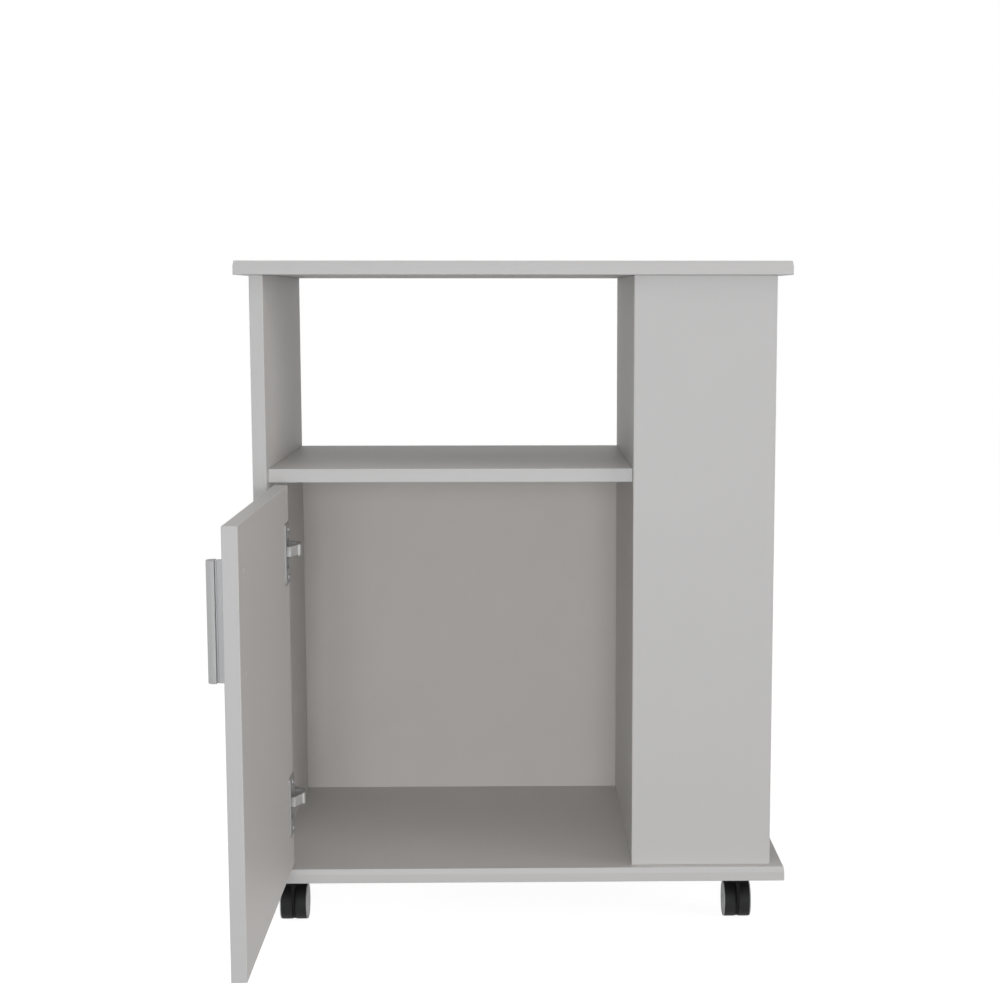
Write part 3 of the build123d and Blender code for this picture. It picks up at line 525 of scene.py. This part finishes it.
class Finishes:
    """Makes each finish once and hands it out."""

    def __init__(self) -> None:
        """Build every finish."""
        self.made = {slot: finish.build() for slot, finish in FINISHES.items()}
        self.variants = {finish.name: finish.build() for finish in (FORK, LINK, LACQUER)}

    def dress(self, piece: bpy.types.Object, slot: Slot, body: str, *nodes: str,
              variant: Optional[Finish] = None) -> bpy.types.Object:
        """Give a new piece its finish, body and the solids that it stands for.

        Args:
            piece: the new piece.
            slot: the record's material slot.
            body: the body that it rides on.
            nodes: the solids that it replaces.
            variant: a finish of its own, in place of the slot's.

        Returns:
            The piece.
        """
        piece.data.materials.clear()
        piece.data.materials.append(self.variants[variant.name] if variant else self.made[slot])
        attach(piece, body)
        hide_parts(*nodes)
        LOG.info("made %s, %d faces", piece.name, len(piece.data.polygons))
        return piece

    def paint(self, node: str, material: bpy.types.Material) -> None:
        """Give a solid that stays its material.

        Args:
            node: the solid.
            material: its material.
        """
        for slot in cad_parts[node].material_slots:
            slot.material = material
        LOG.info("painted %s", node)

    def ease(self, node: str, slot: Slot, body: str, width_mm: float,
             variant: Optional[Finish] = None) -> bpy.types.Object:
        """Copy a pressed or moulded solid and break its sharp edges.

        Args:
            node: the solid to copy and replace.
            slot: its finish.
            body: its body.
            width_mm: how wide each broken edge is.
            variant: a finish of its own, in place of the slot's.

        Returns:
            The eased piece.
        """
        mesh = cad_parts[node].data.copy()
        piece = finish_mesh(f"{node}_eased", mesh, SHARP_DEGREES, FLAT_DEGREES)
        bevel = piece.modifiers.new("edges", "BEVEL")
        bevel.width = width_mm * MM
        bevel.segments = EDGE_SEGMENTS
        bevel.limit_method = "ANGLE"
        bevel.angle_limit = math.radians(SHARP_DEGREES)
        bevel.harden_normals = True
        return self.dress(piece, slot, body, node, variant=variant)


@dataclass
class Carcass:
    """The boards, the door's among them, the thin back and the knock-down fittings."""

    finishes: Finishes
    boards: tuple[str, ...] = (
        "base_board", "top_board", "left_side_panel", "divider_panel", "column_front_panel",
        "column_rear_panel", "middle_shelf", "column_shelf_1", "column_shelf_2", "door_panel")
    cap_dome_mm: float = 0.12
    cap_rings: int = 9
    cap_steps: int = 48

    def face_board(self, node: str, low: np.ndarray, high: np.ndarray) -> None:
        """Give one board its melamine, with glue lines placed by its own edges.

        Args:
            node: the board.
            low: its lowest corner.
            high: its highest corner.
        """
        finish = FacedBoard(f"white_melamine_{node}", low=tuple(low), high=tuple(high), **MELAMINE)
        self.finishes.paint(node, finish.build())

    def cover_caps(self) -> None:
        """Make the push-in caps that close the cams' bores flush.

        The cap's height falls from its middle with the fourth power of the
        radius, down to a thin rounded rim.
        """
        shell = Shell()
        middle_y = sum(node_box("left_side_panel"))[1] / 2
        for low, high in solid_boxes("cam_cover_caps"):
            centre = (low + high) / 2
            size = high - low
            thin = int(size.argmin())
            axis = np.eye(3)[thin]
            # By the way its bore runs, a cap faces right, down or to the middle.
            if thin == 2 or (thin == 1 and centre[1] > middle_y):
                axis = -axis
            radius = size.max() / 2
            height = size[thin]
            share = np.linspace(0.0, 1.0, self.cap_rings)
            dome = np.stack((share * radius, height - self.cap_dome_mm * MM * share ** 4), axis=-1)
            under = np.array(((radius, 0.0), (0.0, 0.0)))
            shell.add(revolve(np.vstack((dome, under)), centre - axis * height / 2, axis, self.cap_steps))
        self.finishes.dress(shell.build("cover_caps"), Slot.CAP, "cabinet", "cam_cover_caps")

    def build(self) -> None:
        """Dress the boards and the hidden fittings, and make the caps."""
        for node in self.boards:
            self.face_board(node, *node_box(node))
        self.finishes.paint("lower_back_panel", self.finishes.made[Slot.HARDBOARD])
        self.finishes.paint("wooden_dowels", self.finishes.made[Slot.DOWEL])
        for node in ("cam_locks", "cam_bolts"):
            self.finishes.paint(node, self.finishes.made[Slot.FASTENER])
        self.cover_caps()


@dataclass
class Fastener:
    """One kind of screw or nail, made wherever its node has a solid."""

    node: str
    body: str
    outward: tuple[float, float, float]
    head_height_mm: float
    shank_radius_mm: float
    drive: Drive = Drive.CROSS
    countersunk: bool = False
    variant: Optional[Finish] = None
    rim_fall: float = 0.65
    cross_reach: float = 0.55
    cross_half_width: float = 0.13
    cross_soft: float = 0.06
    cross_depth: float = 0.28
    rings: int = 18
    steps: int = 64

    def head_profile(self, radius: float) -> tuple[np.ndarray, np.ndarray]:
        """Work out radii and heights over the head.

        A pan head keeps its height near the middle and falls with the fourth
        power of the radius towards the rim; a countersunk head is flat.

        Args:
            radius: the head's radius.

        Returns:
            The radii and the heights above the seat.
        """
        share = np.linspace(0.0, 1.0, self.rings)
        height = 0.0 if self.countersunk else self.head_height_mm * MM
        return share * radius, height * (1.0 - self.rim_fall * share ** 4)

    def recess(self, across: np.ndarray, up: np.ndarray, radius: float) -> np.ndarray:
        """Give the depth of the cross recess at places on the head.

        Each arm of the cross is a soft box, the product of a step along it and
        a step across it, and the cross is the deeper of the two arms. Its sizes
        are shares of the head's radius.

        Args:
            across: places across the head.
            up: places up the head.
            radius: the head's radius.

        Returns:
            The depth at each place.
        """
        if self.drive is Drive.NONE:
            return np.zeros_like(across)
        reach = self.cross_reach * radius
        half_width = self.cross_half_width * radius
        soft = self.cross_soft * radius

        def step(distance: np.ndarray, edge: float) -> np.ndarray:
            """Fall from one to nought over a soft edge."""
            return np.clip((edge - np.abs(distance)) / soft, 0.0, 1.0)

        level = step(across, reach) * step(up, half_width)
        upright = step(up, reach) * step(across, half_width)
        return np.maximum(level, upright) * self.cross_depth * radius

    def grid(self, low: np.ndarray, high: np.ndarray) -> np.ndarray:
        """Make one fastener's grid, from the middle of its head to its tip.

        The profile of head and shank is carried round the axis, and the head
        sinks along the axis by the recess's depth.

        Args:
            low: the solid's lowest corner.
            high: the solid's highest corner.

        Returns:
            Points by ring and by angle.
        """
        axis = np.array(self.outward)
        size = high - low
        length = float(np.abs(size @ axis))
        radius = float(np.delete(size, int(np.abs(axis).argmax())).max()) / 2
        centre = (low + high) / 2
        head = 0.0 if self.countersunk else self.head_height_mm * MM
        seat = centre + axis * (length / 2 - head)
        radii, heights = self.head_profile(radius)
        shank = self.shank_radius_mm * MM
        under = [(radius, 0.0), (shank, -self.head_height_mm * MM if self.countersunk else 0.0),
                 (shank, head - length), (0.0, head - length)]
        points = revolve(np.vstack((np.stack((radii, heights), axis=-1), under)), seat, axis, self.steps)
        angles = np.linspace(0.0, 2 * math.pi, self.steps, endpoint=False)
        depth = self.recess(radii[:, None] * np.cos(angles), radii[:, None] * np.sin(angles), radius)
        points[:self.rings] -= depth[..., None] * axis
        return points

    def build(self, finishes: Finishes) -> None:
        """Make every fastener of this kind as one piece.

        Args:
            finishes: the finishes to dress it from.
        """
        shell = Shell()
        for low, high in solid_boxes(self.node):
            shell.add(self.grid(low, high))
        finishes.dress(shell.build(f"{self.node}_driven"), Slot.FASTENER, self.body, self.node,
                       variant=self.variant)


INWARD_SIDE = (1.0, 0.0, 0.0)
DOWNWARD = (0.0, 0.0, -1.0)
REARWARD = (0.0, 1.0, 0.0)

FASTENERS = (
    Fastener("handle_screws", "door", INWARD_SIDE, head_height_mm=2.2, shank_radius_mm=2.0,
             variant=LACQUER),
    Fastener("hinge_cup_screws", "door", INWARD_SIDE, head_height_mm=1.6, shank_radius_mm=1.8),
    Fastener("hinge_plate_screws", "cabinet", INWARD_SIDE, head_height_mm=1.8, shank_radius_mm=2.0),
    Fastener("hinge_arm_screws", "cabinet", INWARD_SIDE, head_height_mm=1.4, shank_radius_mm=2.0),
    Fastener("caster_screws", "cabinet", DOWNWARD, head_height_mm=2.0, shank_radius_mm=2.0),
    Fastener("confirmat_screws", "cabinet", DOWNWARD, head_height_mm=3.0, shank_radius_mm=3.2,
             countersunk=True),
    Fastener("back_panel_nails", "cabinet", REARWARD, head_height_mm=0.6, shank_radius_mm=0.8,
             drive=Drive.NONE, rings=8, steps=32),
)


@dataclass
class Pull:
    """The door's pull, an extruded bar on a web with a groove between them."""

    finishes: Finishes
    grip_width_mm: float = 14.0
    grip_side_mm: float = 4.7
    grip_thick_mm: float = 8.6
    groove_width_mm: float = 3.6
    groove_thick_mm: float = 1.6
    web_width_mm: float = 7.0
    web_thick_mm: float = 9.2
    corner_mm: float = 0.5
    groove_corner_mm: float = 0.2
    end_round_mm: float = 0.5
    end_draw: float = 0.8
    sharp_degrees: float = 50.0
    corner_steps: int = 5
    crown_steps: int = 28

    def profile(self) -> np.ndarray:
        """Work out the section, across the bar and out from the door's face.

        The foot, web, groove and grip are a rounded outline, and the crown is a
        circle through the grip's shoulders and its top: its radius is half the
        chord squared plus the rise squared, over twice the rise.

        Returns:
            The section's points, counter-clockwise, in metres.
        """
        grip_back = self.web_thick_mm + self.groove_thick_mm
        shoulder = grip_back + self.grip_side_mm
        half = (self.web_width_mm / 2, self.groove_width_mm / 2, self.grip_width_mm / 2)
        right = [(half[0], 0.0), (half[0], self.web_thick_mm), (half[1], self.web_thick_mm),
                 (half[1], grip_back), (half[2], grip_back), (half[2], shoulder)]
        left = [(-across, out) for across, out in reversed(right)]
        groove_corners = [self.groove_corner_mm] * 2
        side_radii = [0.0, self.corner_mm, *groove_corners, self.corner_mm, 0.0]
        corners = np.array(left + right)
        radii = np.array(side_radii[::-1] + side_radii)
        outline = rounded_outline(corners, radii, self.corner_steps)
        rise = self.grip_thick_mm - self.grip_side_mm
        radius = (half[2] ** 2 + rise ** 2) / (2 * rise)
        reach = math.asin(half[2] / radius)
        angles = np.linspace(reach, -reach, self.crown_steps)[1:-1]
        top = grip_back + self.grip_thick_mm
        crown = np.stack((radius * np.sin(angles), top - radius + radius * np.cos(angles)), axis=-1)
        points = np.vstack((outline, crown)) * MM
        steps = np.linalg.norm(points - np.roll(points, 1, axis=0), axis=1)
        return points[steps > SLIVER_MM * MM]

    def build(self) -> None:
        """Carry the section up the pull's length and round off both ends.

        Near each end the section shrinks along its normals as a quarter turn
        of the end round, drawn in a little less than it climbs.
        """
        low, high = node_box("door_handle")
        section = self.profile()
        turn = np.linspace(0.0, math.pi / 2, self.corner_steps)
        end = self.end_round_mm * MM
        inset = end * (1.0 - np.sin(turn)) * self.end_draw
        climb = end * (1.0 - np.cos(turn))
        heights = np.concatenate((low[2] + climb, high[2] - climb[::-1]))
        insets = np.concatenate((inset, inset[::-1]))
        middle_y = (low[1] + high[1]) / 2
        rows = []
        for height, drawn_in in zip(heights, insets):
            outline = shrink(section, drawn_in)
            rows.append(np.stack((high[0] - outline[:, 1], middle_y + outline[:, 0],
                                  np.full(len(outline), height)), axis=-1))
        grid = np.stack(rows)
        grid[..., 0] = np.minimum(grid[..., 0], high[0])
        piece = Shell().add(grid, caps=True).build("door_pull", self.sharp_degrees)
        self.finishes.dress(piece, Slot.HANDLE, "door", "door_handle")


@dataclass
class Hinge:
    """One concealed hinge: its cup on the door and its arm and plate inside."""

    finishes: Finishes
    level: Level
    flange_corner_mm: float = 3.0
    flange_mm: float = 1.8
    wall_mm: float = 1.0
    floor_mm: float = 0.7
    floor_round_mm: float = 1.2
    cup_radius_mm: float = 17.5
    edge_mm: float = 0.6
    arm_edge_mm: float = 0.25
    plate_edge_mm: float = 0.4
    link_edge_mm: float = 0.2
    corner_steps: int = 14
    side_steps: int = 24
    edge_steps: int = 6

    def cup(self) -> None:
        """Make the drawn cup and its flange as one pressing.

        Each row is a blend of a circle and the flange's outline, at its own
        depth: from the middle of the floor up the wall, over the flange, round
        its edge, and back under it and down the outside of the cup.
        """
        node = f"{self.level.value}_hinge_cup"
        low, high = node_box(node)
        centre = (low + high) / 2
        half = (high - low) / 2
        signs = np.array(((1, 1), (-1, 1), (-1, -1), (1, -1)))
        corners = signs * half[1:]
        outline = rounded_outline(corners, np.full(4, self.flange_corner_mm * MM), self.corner_steps)
        arcs = outline.reshape(4, -1, 2)
        sides = [np.linspace(start, end, self.side_steps + 2)[1:-1]
                 for start, end in zip(arcs[:, -1], np.roll(arcs[:, 0], -1, axis=0))]
        ring = np.concatenate([np.vstack((arc, side)) for arc, side in zip(arcs, sides)])
        angles = np.arctan2(ring[:, 1], ring[:, 0])
        circle = np.stack((np.cos(angles), np.sin(angles)), axis=-1)
        inner = (self.cup_radius_mm - self.wall_mm) * MM
        outer = self.cup_radius_mm * MM
        face = high[0] - self.flange_mm * MM
        floor = low[0] + self.floor_mm * MM
        edge = self.edge_mm * MM
        bend = self.floor_round_mm * MM
        turns = np.linspace(0.0, math.pi / 2, self.edge_steps)
        rows = [(0.0, 0.0, 0.0, floor)]
        rows += [(0.0, inner - bend * (1 - math.sin(turn)), 0.0, floor + bend * (1 - math.cos(turn)))
                 for turn in turns]
        rows += [(0.0, inner + edge * (1 - math.cos(turn)), 0.0, high[0] - edge * (1 - math.sin(turn)))
                 for turn in turns]
        rows += [(1.0, 0.0, edge * (1 - math.sin(turn)), high[0] - edge * (1 - math.cos(turn)))
                 for turn in turns]
        rows += [(1.0, 0.0, 0.0, face), (0.0, outer, 0.0, face), (0.0, outer, 0.0, low[0] + edge),
                 (0.0, outer - edge, 0.0, low[0]), (0.0, 0.0, 0.0, low[0])]
        grid = []
        for share, radius, inset, depth in rows:
            flat = (1.0 - share) * radius * circle + share * shrink(ring, inset)
            grid.append(np.stack((np.full(len(flat), depth), centre[1] + flat[:, 0],
                                  centre[2] + flat[:, 1]), axis=-1))
        piece = Shell().add(np.stack(grid)).build(f"{self.level.value}_cup_pressing")
        self.finishes.dress(piece, Slot.HINGE, "door", node)

    def build(self) -> None:
        """Make the cup, ease the pressed pieces and dress the pins."""
        name = self.level.value
        self.cup()
        self.finishes.ease(f"{name}_hinge_arm", Slot.HINGE, "cabinet", self.arm_edge_mm)
        self.finishes.ease(f"{name}_hinge_plate", Slot.HINGE, "cabinet", self.plate_edge_mm)
        # The link takes the hinge steel painted lighter, as painted light against the shade it lies in.
        self.finishes.ease(f"{name}_hinge_link", Slot.HINGE, f"{name}_hinge_link", self.link_edge_mm,
                           variant=LINK)
        for pin in ("cup_pin", "arm_pin"):
            self.finishes.paint(f"{name}_hinge_{pin}", self.finishes.made[Slot.PIN])


@dataclass
class Caster:
    """One twin-wheel swivel caster."""

    finishes: Finishes
    corner: Corner
    bore_radius_mm: float = 3.0
    shoulder_mm: float = 0.4
    crown_mm: float = 0.08
    cap_rim_mm: float = 1.6
    cap_dish_mm: float = 0.5
    cap_boss_radius_mm: float = 6.0
    cap_edge_mm: float = 0.3
    fork_edge_mm: float = 0.4
    plate_edge_mm: float = 0.3
    shoulder_steps: int = 8
    tread_steps: int = 11
    ease_steps: int = 7
    steps: int = 128

    def wheel_profile(self, radius: float, width: float) -> np.ndarray:
        """Work out one wheel's closed section, from its bore outwards.

        The tread bulges by the crown times one minus the square of the share
        of the half width, and both shoulders are quarter circles.

        Args:
            radius: the wheel's radius.
            width: the wheel's width.

        Returns:
            Rows of radius and height from the inner face.
        """
        shoulder = self.shoulder_mm * MM
        crown = self.crown_mm * MM
        side = radius - crown
        turn = np.linspace(0.0, math.pi / 2, self.shoulder_steps)
        inner = np.stack((side - shoulder + shoulder * np.sin(turn), shoulder * (1 - np.cos(turn))), axis=-1)
        share = np.linspace(-1.0, 1.0, self.tread_steps + 2)[1:-1]
        tread = np.stack((side + crown * (1 - share ** 2),
                          width / 2 + share * (width / 2 - shoulder)), axis=-1)
        outer = inner[::-1] * (1, -1) + (0, width)
        bore = self.bore_radius_mm * MM
        return np.vstack((((bore, 0.0),), inner, tread, outer, ((bore, width),)))

    def cap_profile(self, radius: float, height: float) -> np.ndarray:
        """Work out a hub cap's section, from its boss to its seat.

        Each step is a half cosine over the edge's width.

        Args:
            radius: the cap's radius.
            height: the cap's height.

        Returns:
            Rows of radius and height from the seat.
        """
        dish = self.cap_dish_mm * MM
        edge = self.cap_edge_mm * MM
        share = np.linspace(0.0, 1.0, self.ease_steps)
        ease = 0.5 - 0.5 * np.cos(math.pi * share)
        boss = self.cap_boss_radius_mm * MM
        rim = radius - self.cap_rim_mm * MM
        down = np.stack((boss - edge + 2 * edge * share, height - dish * ease), axis=-1)
        up = np.stack((rim - edge + 2 * edge * share, height - dish * (1 - ease)), axis=-1)
        return np.vstack((((0.0, height),), down, up,
                          ((radius - edge, height), (radius, height - edge), (radius, 0.0), (0.0, 0.0))))

    def build(self) -> None:
        """Make the wheels and caps, ease the yoke and plate, and dress the axle."""
        name = self.corner.value
        hub_x = sum(node_box(f"{name}_caster_axle"))[0] / 2
        wheels = Shell()
        for low, high in solid_boxes(f"{name}_caster_wheels"):
            axis = X_AXIS * np.sign((low + high)[0] / 2 - hub_x)
            centre = (low + high) / 2 - axis * (high - low)[0] / 2
            profile = self.wheel_profile((high - low)[2] / 2, (high - low)[0])
            wheels.add(revolve(profile, centre, axis, self.steps), wrap_rows=True)
        self.finishes.dress(wheels.build(f"{name}_wheels"), Slot.CASTER, f"{name}_wheel_pair",
                            f"{name}_caster_wheels")
        caps = Shell()
        for low, high in solid_boxes(f"{name}_caster_hub_caps"):
            axis = X_AXIS * np.sign((low + high)[0] / 2 - hub_x)
            centre = (low + high) / 2 - axis * (high - low)[0] / 2
            profile = self.cap_profile((high - low)[2] / 2, (high - low)[0])
            caps.add(revolve(profile, centre, axis, self.steps))
        self.finishes.dress(caps.build(f"{name}_hub_caps"), Slot.HUB_CAP, f"{name}_wheel_pair",
                            f"{name}_caster_hub_caps")
        # The yoke takes the darker fork nylon, whose extra darkness is painted shade from the base board.
        self.finishes.ease(f"{name}_caster_yoke", Slot.CASTER, f"{name}_swivel", self.fork_edge_mm,
                           variant=FORK)
        self.finishes.ease(f"{name}_caster_plate", Slot.CASTER_PLATE, "cabinet", self.plate_edge_mm)
        self.finishes.paint(f"{name}_caster_axle", self.finishes.made[Slot.PIN])


@dataclass(frozen=True)
class Lamp:
    """One soft round lamp."""

    name: str
    place_m: tuple[float, float, float]
    width_m: float
    power_w: float
    colour: str


@dataclass
class Studio:
    """The pale floor, the soft lights and the camera."""

    eye_m: tuple[float, float, float] = (0.002, -2.1535, 0.7003)
    yaw_degrees: float = 1.26
    pitch_degrees: float = 7.79
    focal_px: float = 1989.0
    middle_px: tuple[float, float] = (560.1, 570.2)
    image_px: float = 1000.0
    sensor_mm: float = 36.0
    view_far_m: float = 50.0
    floor_radius_m: float = 9.0
    floor_steps: int = 96
    floor_colour: str = "#B0B0B0"
    floor_glow: float = 0.91
    ambient_colour: str = "#FFFFFF"
    ambient: float = 0.2
    lamps: tuple[Lamp, ...] = (
        Lamp("front_soft_light", (0.0, -4.5, 0.65), 1.3, 74.0, "#F5FAFF"),
        Lamp("right_soft_light", (4.0, -1.8, 1.0), 2.5, 54.0, "#FFF8F5"),
        Lamp("top_soft_light", (0.0, -1.2, 3.4), 2.5, 18.0, "#FFFBF9"),
        Lamp("left_soft_light", (-4.2, 0.1, 1.0), 1.0, 24.0, "#FFFFFF"),
    )

    def camera(self) -> None:
        """Place the camera where the photograph was taken from."""
        data = bpy.data.cameras.new("camera")
        data.sensor_width = self.sensor_mm
        data.lens = self.focal_px / self.image_px * self.sensor_mm
        data.shift_x = 0.5 - self.middle_px[0] / self.image_px
        data.shift_y = self.middle_px[1] / self.image_px - 0.5
        data.clip_end = self.view_far_m
        camera = bpy.data.objects.new("camera", data)
        bpy.context.scene.collection.objects.link(camera)
        yaw = math.radians(self.yaw_degrees)
        pitch = math.radians(self.pitch_degrees)
        look = Vector((math.sin(yaw) * math.cos(pitch), math.cos(yaw) * math.cos(pitch), -math.sin(pitch)))
        camera.location = self.eye_m
        camera.rotation_euler = look.to_track_quat("-Z", "Y").to_euler()
        bpy.context.scene.camera = camera

    def lights(self) -> None:
        """Hang wide soft lamps that look at the cabinet's middle."""
        target = sum(CAD_BOX, Vector()) / 2
        for lamp in self.lamps:
            data = bpy.data.lights.new(lamp.name, "AREA")
            data.shape = "DISK"
            data.size = lamp.width_m
            data.energy = lamp.power_w
            data.color = linear(lamp.colour)[:3]
            hung = bpy.data.objects.new(lamp.name, data)
            hung.location = lamp.place_m
            hung.rotation_euler = (target - Vector(lamp.place_m)).to_track_quat("-Z", "Y").to_euler()
            hung.visible_camera = False
            bpy.context.scene.collection.objects.link(hung)

    def seen(self, nodes: Nodes) -> bpy.types.NodeSocket:
        """Tell the rays of the camera, reflections and clear stuff from the rest.

        Args:
            nodes: the tree that asks.

        Returns:
            One for such a ray, nought for any other.
        """
        path = nodes.add("ShaderNodeLightPath").outputs
        direct = nodes.add("ShaderNodeMath", {
            0: path["Is Camera Ray"], 1: path["Is Glossy Ray"]}, operation="MAXIMUM").outputs[0]
        return nodes.add("ShaderNodeMath", {
            0: direct, 1: path["Is Transmission Ray"]}, operation="MAXIMUM").outputs[0]

    def world(self) -> None:
        """Give a white background and a much weaker ambient light."""
        world = bpy.data.worlds.new("studio")
        world.use_nodes = True
        bpy.context.scene.world = world
        nodes = Nodes(world.node_tree)
        ambient = nodes.add("ShaderNodeBackground", {
            "Color": linear(self.ambient_colour), "Strength": self.ambient}).outputs[0]
        white = nodes.add("ShaderNodeBackground", {"Color": linear("#FFFFFF"), "Strength": 1.0}).outputs[0]
        mixed = nodes.add("ShaderNodeMixShader", {0: self.seen(nodes), 1: ambient, 2: white}).outputs[0]
        nodes.add("ShaderNodeOutputWorld", {"Surface": mixed})

    def floor(self) -> None:
        """Lay a wide pale floor that runs into the white background.

        It is a flat disc, the unit circle times the floor's radius.
        """
        angles = np.linspace(0.0, 2 * math.pi, self.floor_steps, endpoint=False)
        circle = np.stack((np.cos(angles), np.sin(angles), np.zeros_like(angles)), axis=-1)
        mesh = bpy.data.meshes.new("floor")
        mesh.from_pydata(circle * self.floor_radius_m, [], [list(range(self.floor_steps))])
        floor = bpy.data.objects.new("floor", mesh)
        bpy.context.scene.collection.objects.link(floor)
        material = bpy.data.materials.new("pale_floor")
        material.use_nodes = True
        nodes = Nodes(material.node_tree)
        matt = nodes.add("ShaderNodeBsdfDiffuse", {"Color": linear(self.floor_colour)}).outputs[0]
        glow = nodes.add("ShaderNodeEmission", {
            "Color": linear("#FFFFFF"), "Strength": self.floor_glow}).outputs[0]
        both = nodes.add("ShaderNodeAddShader", {0: matt, 1: glow}).outputs[0]
        mixed = nodes.add("ShaderNodeMixShader", {0: self.seen(nodes), 1: matt, 2: both}).outputs[0]
        nodes.add("ShaderNodeOutputMaterial", {"Surface": mixed})
        mesh.materials.append(material)

    def build(self) -> None:
        """Make the whole studio."""
        bpy.context.scene.view_settings.view_transform = "Standard"
        self.camera()
        self.lights()
        self.world()
        self.floor()


def main() -> None:
    """Build the studio and every sub-assembly in order."""
    logging.basicConfig(level=logging.INFO, format="%(name)s: %(message)s")
    Studio().build()
    finishes = Finishes()
    Carcass(finishes).build()
    Pull(finishes).build()
    for level in Level:
        Hinge(finishes, level).build()
    for corner in Corner:
        Caster(finishes, corner).build()
    finishes.paint("caster_kingpins", finishes.made[Slot.PIN])
    for fastener in FASTENERS:
        fastener.build(finishes)


if __name__ == "__main__":
    main()
